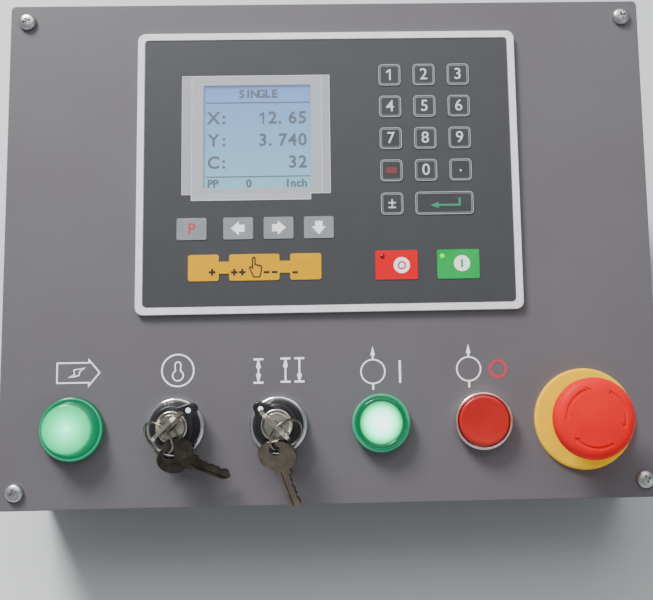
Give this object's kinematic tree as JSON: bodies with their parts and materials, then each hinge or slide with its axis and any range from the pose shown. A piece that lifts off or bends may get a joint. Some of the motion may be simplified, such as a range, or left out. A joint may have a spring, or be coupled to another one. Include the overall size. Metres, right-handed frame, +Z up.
{
  "type": "press brake operator control box",
  "caption": "Inclined operator control box of a press brake: keypad controller with display, signal lamp, key switches with hanging keys, push buttons and emergency stop.",
  "frame": {"origin": "middle of the flat bottom, in the centre of its fixing holes", "axes": "+Z up, +X to the operator's right, +Y to the back; the face looks up and towards -Y"},
  "size_m": [0.336, 0.2536, 0.1821],
  "materials": {
    "painted_steel": "textured powder coat",
    "painted_face": "satin paint",
    "black_rubber": "moulded",
    "black_foam": "closed-cell foam",
    "zinc_steel": "zinc plated",
    "white_plastic": "moulded",
    "charcoal_film": "fine texture",
    "charcoal_key": "embossed film",
    "grey_key": "embossed film",
    "yellow_key": "embossed film",
    "red_key": "embossed film",
    "green_key": "embossed film",
    "clear_film": "clear film",
    "display": "lit display",
    "dark_plastic": "moulded",
    "board_green": "solder mask",
    "terminal_green": "moulded",
    "green_lens": "translucent",
    "black_plastic": "moulded",
    "light_white": "diffuser",
    "contact_grey": "moulded",
    "chromed_ring": "chromed",
    "barrel_steel": "nickel plated",
    "key_nickel": "nickel plated",
    "ring_steel": "drawn wire",
    "green_cap": "translucent",
    "red_cap": "opaque",
    "yellow_plate": "moulded",
    "red_head": "moulded"
  },
  "bodies": {
    "housing": {"housing_shell": "painted_steel", "cable_entry_plug": "black_rubber", "earth_stud": "zinc_steel", "panel_gasket": "black_foam", "faceplate": "painted_face", "panel_screws": "zinc_steel", "panel_nuts": "zinc_steel", "controller_bezel": "white_plastic", "membrane_overlay": "charcoal_film", "display_film": "clear_film", "lcd_glass": "display", "number_keys": "charcoal_key", "grey_keys": "grey_key", "jog_keys": "yellow_key", "stop_key": "red_key", "start_key": "green_key", "controller_case": "dark_plastic", "circuit_board": "board_green", "terminal_blocks": "terminal_green", "panel_clamps": "zinc_steel", "clamp_screws": "zinc_steel", "device_nuts": "zinc_steel", "lamp_lens": "green_lens", "lamp_body": "black_plastic", "lamp_module": "light_white", "start_button_ring": "chromed_ring", "start_button_body": "black_plastic", "start_button_contacts": "contact_grey", "start_button_light": "light_white", "stop_button_ring": "chromed_ring", "stop_button_body": "black_plastic", "stop_button_contacts": "contact_grey", "estop_disc": "yellow_plate", "estop_body": "black_plastic", "estop_contacts": "contact_grey", "left_switch_ring": "chromed_ring", "left_switch_body": "black_plastic", "left_switch_contacts": "contact_grey", "right_switch_ring": "chromed_ring", "right_switch_body": "black_plastic", "right_switch_contacts": "contact_grey"},
    "start_button": {"start_button": "green_cap"},
    "stop_button": {"stop_button": "red_cap"},
    "estop_stem": {"estop_stem": "black_plastic"},
    "estop_head": {"estop_head": "red_head"},
    "left_rotor": {"left_switch_collar": "black_plastic", "left_switch_barrel": "barrel_steel"},
    "left_key": {"left_key": "key_nickel"},
    "left_ring": {"left_key_ring": "ring_steel"},
    "left_spare": {"left_spare_key": "key_nickel"},
    "right_rotor": {"right_switch_collar": "black_plastic", "right_switch_barrel": "barrel_steel"},
    "right_key": {"right_key": "key_nickel"},
    "right_ring": {"right_key_ring": "ring_steel"},
    "right_spare": {"right_spare_key": "key_nickel"}
  },
  "joints": [
    {"name": "left_switch_turn", "type": "hinge", "parent": "housing", "child": "left_rotor", "pos_m": [-0.079, -0.10451, 0.08742], "axis": [0, -0.4226, 0.9063], "range_deg": [0, 45]},
    {"name": "left_key_pull", "type": "slide", "parent": "left_rotor", "child": "left_key", "axis": [0, -0.4226, 0.9063], "range_m": [0, 0.018]},
    {"name": "left_ring_swing", "type": "hinge", "parent": "left_key", "child": "left_ring", "pos_m": [-0.07993, -0.11682, 0.11161], "axis": [-0.7071, 0.6409, 0.2988], "range_deg": [0, 75]},
    {"name": "left_spare_swing", "type": "hinge", "parent": "left_ring", "child": "left_spare", "pos_m": [-0.07977, -0.12309, 0.09834], "axis": [0.1139, -0.8339, 0.5401], "range_deg": [0, 12]},
    {"name": "right_switch_turn", "type": "hinge", "parent": "housing", "child": "right_rotor", "pos_m": [-0.027, -0.10451, 0.08742], "axis": [0, -0.4226, 0.9063], "range_deg": [-45, 0]},
    {"name": "right_key_pull", "type": "slide", "parent": "right_rotor", "child": "right_key", "axis": [0, -0.4226, 0.9063], "range_m": [0, 0.018]},
    {"name": "right_ring_swing", "type": "hinge", "parent": "right_key", "child": "right_ring", "pos_m": [-0.02607, -0.11682, 0.11161], "axis": [-0.7071, -0.6409, -0.2988], "range_deg": [0, 75]},
    {"name": "right_spare_swing", "type": "hinge", "parent": "right_ring", "child": "right_spare", "pos_m": [-0.02741, -0.12328, 0.09974], "axis": [-0.2819, -0.7856, 0.5507], "range_deg": [-6, 4]},
    {"name": "start_press", "type": "slide", "parent": "housing", "child": "start_button", "axis": [0, 0.4226, -0.9063], "range_m": [0, 0.0035], "stiffness_N_per_m": 600, "springref_m": -0.001},
    {"name": "stop_press", "type": "slide", "parent": "housing", "child": "stop_button", "axis": [0, 0.4226, -0.9063], "range_m": [0, 0.0035], "stiffness_N_per_m": 600, "springref_m": -0.001},
    {"name": "estop_press", "type": "slide", "parent": "housing", "child": "estop_stem", "axis": [0, 0.4226, -0.9063], "range_m": [0, 0.0045]},
    {"name": "estop_twist", "type": "hinge", "parent": "estop_stem", "child": "estop_head", "pos_m": [0.129, -0.10451, 0.08742], "axis": [0, 0.4226, -0.9063], "range_deg": [0, 30], "stiffness_Nm_per_rad": 0.06}
  ]
}
